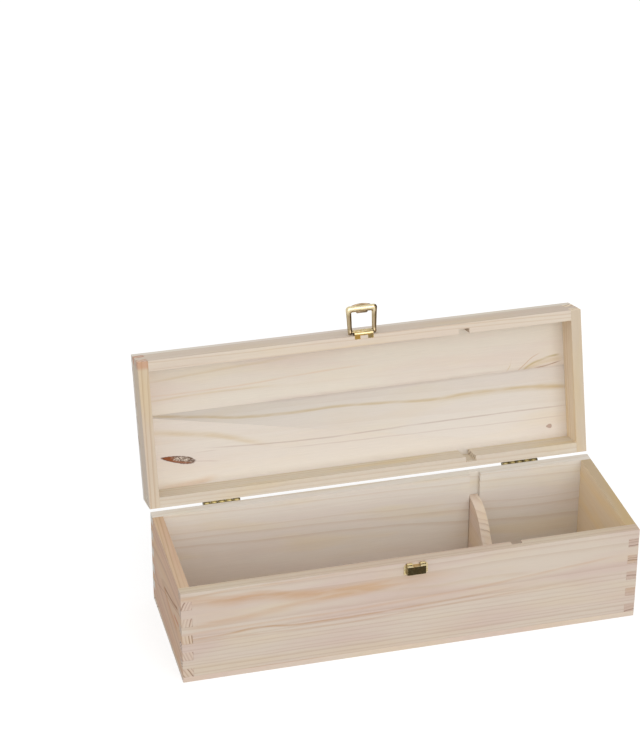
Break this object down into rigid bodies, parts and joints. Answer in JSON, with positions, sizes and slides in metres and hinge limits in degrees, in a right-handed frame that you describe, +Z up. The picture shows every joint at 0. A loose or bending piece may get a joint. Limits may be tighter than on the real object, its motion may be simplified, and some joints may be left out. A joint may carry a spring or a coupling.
{
  "type": "wine box",
  "caption": "Long pine box for a large wine bottle, with finger-jointed corners, a hinged lid standing open, a brass loop clasp and a cut-out board inside that holds the bottle's neck.",
  "frame": {"origin": "centre of the box's underside", "axes": "+Z up, +X along the box towards the neck rest's end, -Y towards the front board with the catch"},
  "size_m": [0.366, 0.1868, 0.2215],
  "materials": {
    "pine": "sanded, unfinished",
    "pine_inside": "sanded, unfinished",
    "hinge_brass": "brass-plated sheet",
    "clasp_brass": "brass-plated sheet, polished"
  },
  "bodies": {
    "base": {"base_front_board": "pine", "base_back_board": "pine", "base_left_end": "pine", "base_right_end": "pine", "bottom_panel": "pine", "left_hinge_base_leaf": "hinge_brass", "left_hinge_pin": "hinge_brass", "right_hinge_base_leaf": "hinge_brass", "right_hinge_pin": "hinge_brass", "base_hinge_nails": "hinge_brass", "catch": "clasp_brass"},
    "lid": {"lid_front_rail": "pine", "lid_back_rail": "pine", "lid_left_end": "pine", "lid_right_end": "pine", "lid_panel_front_board": "pine", "lid_panel_back_board": "pine", "left_hinge_lid_leaf": "hinge_brass", "right_hinge_lid_leaf": "hinge_brass", "lid_hinge_nails": "hinge_brass", "clasp_plate": "clasp_brass"},
    "loop": {"clasp_loop": "clasp_brass"},
    "neck_rest": {"neck_rest": "pine_inside"}
  },
  "joints": [
    {"name": "lid_hinge", "type": "hinge", "parent": "base", "child": "lid", "pos_m": [0, 0.0613, 0.08115], "axis": [1, 0, 0], "range_deg": [0, 105.5]},
    {"name": "loop_hinge", "type": "hinge", "parent": "lid", "child": "loop", "pos_m": [0.0005, 0.0997, 0.19846], "axis": [1, 0, 0], "range_deg": [-87.5, 82.5]},
    {"name": "neck_rest_slide", "type": "slide", "parent": "base", "child": "neck_rest", "axis": [0, 0, 1], "range_m": [0, 0.04]}
  ]
}
